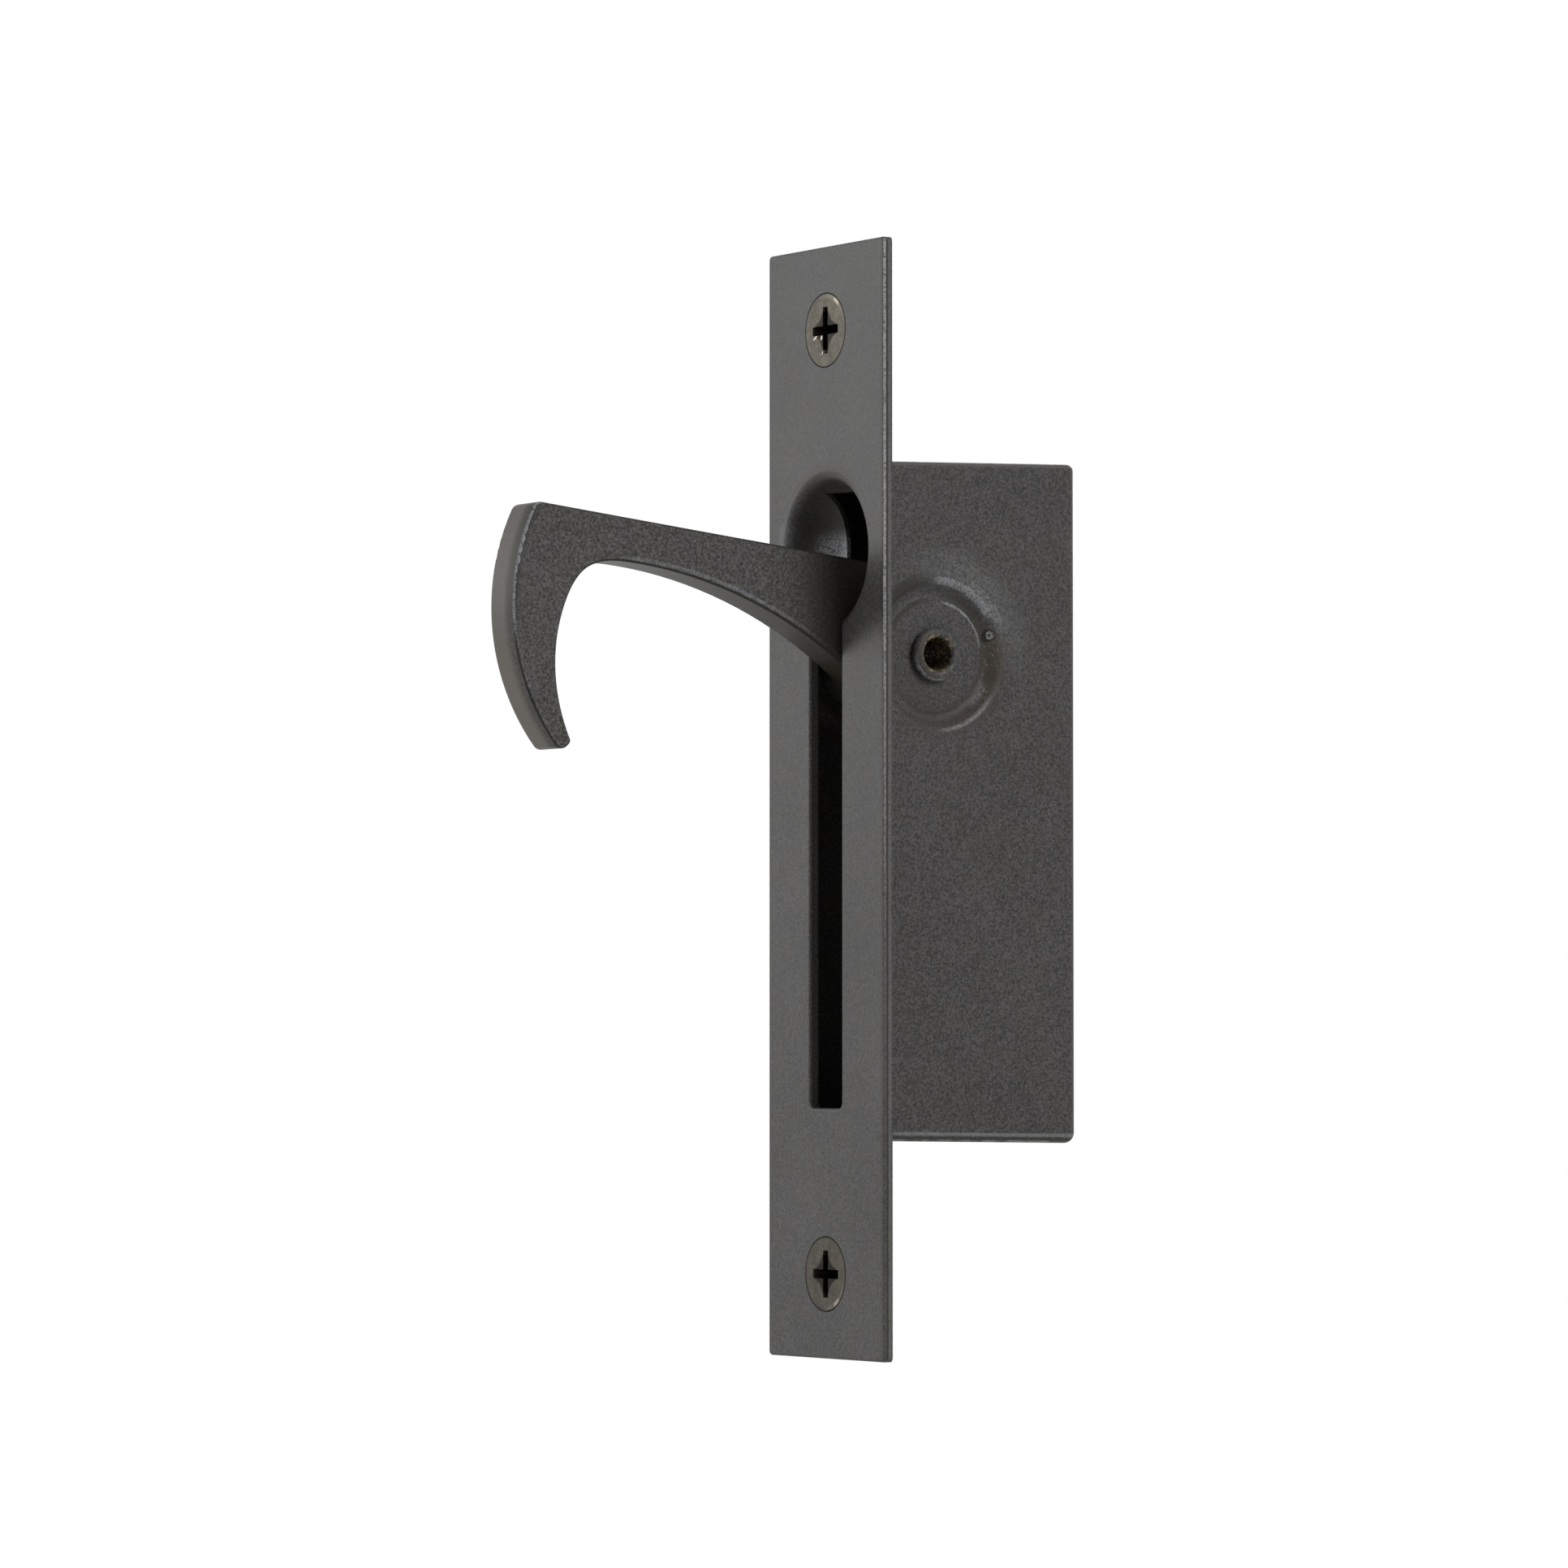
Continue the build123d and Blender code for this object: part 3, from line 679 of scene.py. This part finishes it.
def studio():
    """A white studio: even white behind the object, a dimmer room round it and soft lamps."""
    world = bpy.data.worlds.new("studio")
    bpy.context.scene.world = world
    world.use_nodes = True
    tree = world.node_tree
    tree.nodes.clear()
    path = tree.nodes.new("ShaderNodeLightPath")
    room = tree.nodes.new("ShaderNodeBackground")
    room.inputs["Color"].default_value = ROOM_TINT
    room.inputs["Strength"].default_value = ROOM_STRENGTH
    seen = tree.nodes.new("ShaderNodeBackground")
    seen.inputs["Color"].default_value = (1, 1, 1, 1)
    seen.inputs["Strength"].default_value = 1.0
    either = path.outputs["Is Camera Ray"]
    for ray in ("Is Glossy Ray", "Is Transmission Ray"):
        most = tree.nodes.new("ShaderNodeMath")
        most.operation = "MAXIMUM"
        tree.links.new(either, most.inputs[0])
        tree.links.new(path.outputs[ray], most.inputs[1])
        either = most.outputs[0]
    both = tree.nodes.new("ShaderNodeMixShader")
    output = tree.nodes.new("ShaderNodeOutputWorld")
    tree.links.new(either, both.inputs[0])
    tree.links.new(room.outputs[0], both.inputs[1])
    tree.links.new(seen.outputs[0], both.inputs[2])
    tree.links.new(both.outputs[0], output.inputs["Surface"])
    for lamp in LAMPS:
        softbox(*lamp)


def floor():
    """A pale floor under the object: a circle of corners that fades into the white background."""
    corners = 96
    turn = np.linspace(0, 2 * math.pi, corners, endpoint=False)
    rim = np.stack([np.cos(turn), np.sin(turn), np.zeros_like(turn)], 1) * FLOOR_RADIUS * MM
    rim[:, 2] = FLOOR_Z * MM
    mesh = bpy.data.meshes.new("floor")
    mesh.from_pydata(rim.tolist(), [], [list(range(corners))])
    paint = Paint("pale_floor")
    x, y, z = paint.axes()
    pale = paint.mix(paint.noise(14.0), FLOOR_GREY, FLOOR_WHITE)
    surface = paint.add("ShaderNodeBsdfPrincipled", None, {"Base Color": pale, "Roughness": 0.8})
    clear = paint.add("ShaderNodeBsdfTransparent")
    fade = distance(x, y).ramp(FLOOR_FADE, FLOOR_RADIUS)
    paint.add_output(paint.add("ShaderNodeMixShader", None, {0: fade, 1: surface, 2: clear}))
    mesh.materials.append(paint.material)
    disc = bpy.data.objects.new("floor", mesh)
    bpy.context.scene.collection.objects.link(disc)


def surface_piece(name, points, faces, body, material):
    """A new piece from an array of points in millimetres and its faces."""
    mesh = bpy.data.meshes.new(name)
    mesh.from_pydata((points * MM).tolist(), [], faces)
    mesh.polygons.foreach_set("use_smooth", np.ones(len(mesh.polygons), bool))
    mesh.materials.append(material)
    piece = bpy.data.objects.new(name, mesh)
    bpy.context.scene.collection.objects.link(piece)
    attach(piece, body)


def tube_faces(rings, around):
    """Quads of a tube with so many rings and points round it, and a fan's triangles at each pole."""
    ring, step = np.meshgrid(np.arange(rings - 1), np.arange(around), indexing="ij")
    here, after = ring * around + step, ring * around + (step + 1) % around
    quads = np.stack([here, here + around, after + around, after], -1).reshape(-1, 4).tolist()
    first, last = rings * around, rings * around + 1
    ends = np.arange(around)
    beside = (ends + 1) % around
    base = (rings - 1) * around
    near = np.stack([ends, beside, np.full(around, first)], 1).tolist()
    far = np.stack([beside + base, ends + base, np.full(around, last)], 1).tolist()
    return quads + near + far


def screw_thread(node, material):
    """A screw's thread: the radius is a ridge of the share y / pitch - angle / turn, tapering at the end."""
    low, high = (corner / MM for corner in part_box(node))
    rings, around = 150, 72
    y = np.linspace(SCREW_THREAD_START, high.y, rings)[:, None]
    angle = np.linspace(0, 2 * math.pi, around, endpoint=False)[None, :]
    share = (y / SCREW_THREAD_PITCH - angle / (2 * math.pi)) % 1
    ridge = np.clip(1 - np.abs(share - 0.5) * 2 / SCREW_RIDGE_SHARE, 0, 1)
    taper = np.clip((high.y - y) / SCREW_TIP_LENGTH, 0, 1)
    crest = SCREW_TIP_RADIUS + (SCREW_SHANK_RADIUS - SCREW_TIP_RADIUS) * taper
    start = np.clip((y - SCREW_THREAD_START) / SCREW_THREAD_RUN_IN, 0, 1)
    depth = SCREW_THREAD_DEPTH * (SCREW_TIP_DEPTH_SHARE + (1 - SCREW_TIP_DEPTH_SHARE) * taper)
    radius = crest - depth * (1 - ridge * start)
    middle_z = (low.z + high.z) / 2
    grid = np.stack([radius * np.cos(angle), y + 0 * angle, middle_z + radius * np.sin(angle)], -1)
    poles = np.array([[0, SCREW_THREAD_START, middle_z], [0, high.y, middle_z]])
    points = np.concatenate([grid.reshape(-1, 3), poles])
    surface_piece(f"{node}_thread", points, tube_faces(rings, around), "housing", material)


def slim_core(piece, node):
    """Draws a screw copy's shank inwards, so that the thread stands on it."""
    low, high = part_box(node)
    mesh = piece.data
    places = np.empty(len(mesh.vertices) * 3, np.float32)
    mesh.vertices.foreach_get("co", places)
    places = places.reshape(-1, 3)
    middle = (low.z + high.z) / 2
    on_shank = places[:, 1] > SCREW_HEAD_END * MM
    places[on_shank, 0] *= SCREW_CORE_SHRINK
    places[on_shank, 2] = middle + (places[on_shank, 2] - middle) * SCREW_CORE_SHRINK
    mesh.vertices.foreach_set("co", places.ravel())
    mesh.update()


def pip(material):
    """A bead in the coat on the dimple's wall: half an ellipse over its radius, less a bell-shaped pit.

    The wall under it rises from the groove to the rim in an S curve of the share of the way across.
    """
    share = (PIP_RADIUS_FROM_PIVOT - DIMPLE_GROOVE_RADIUS) / (DIMPLE_RIM_RADIUS - DIMPLE_GROOVE_RADIUS)
    face = cad_box[1].x / MM - CASE_SIDE_INSET
    whole_depth = DIMPLE_DEPTH + DIMPLE_GROOVE
    wall = face - whole_depth + whole_depth * share ** 2 * (3 - 2 * share)
    rings, around = 12, 24
    out = np.linspace(1, PIP_INNER_RING, rings)[:, None]
    angle = np.linspace(0, 2 * math.pi, around, endpoint=False)[None, :]
    pit = PIP_PIT_DEPTH * np.exp(-(out / PIP_PIT_RADIUS) ** 2)
    height = PIP_HEIGHT * (np.sqrt(np.clip(1 - out ** 2, 0, 1)) - pit)
    middle_y, middle_z = pip_place()
    y = middle_y + PIP_RADIUS * out * np.cos(angle)
    z = middle_z - PIP_RADIUS * out * np.sin(angle)
    grid = np.stack([wall + height + 0 * angle, y, z], -1)
    lowest, top = wall - PIP_ROOT_DEPTH, wall + height[-1, 0]
    poles = np.array([[lowest, middle_y, middle_z], [top, middle_y, middle_z]])
    points = np.concatenate([grid.reshape(-1, 3), poles])
    surface_piece("coat_pip", points, tube_faces(rings, around), "housing", material)


def build():
    """Dresses every node: copies that shade as curves, two threads, the bead, and steel on the washers."""
    textured = case_coat()
    smooth_copy("faceplate", "housing", plate_coat())
    smooth_copy("case", "housing", textured)
    smooth_copy("lever", "lever", lever_coat())
    smooth_copy("pivot_rivet", "housing", rivet_coat())
    pip(textured)
    metal = bronze()
    for node in ("upper_screw", "lower_screw"):
        slim_core(smooth_copy(node, "housing", metal), node)
        screw_thread(node, metal)
    plain = steel()
    for node in ("right_washer", "left_washer", "wave_washer"):
        paint_node(node, plain)


camera()
studio()
floor()
build()

view = bpy.context.scene.view_settings
view.view_transform = "Standard"
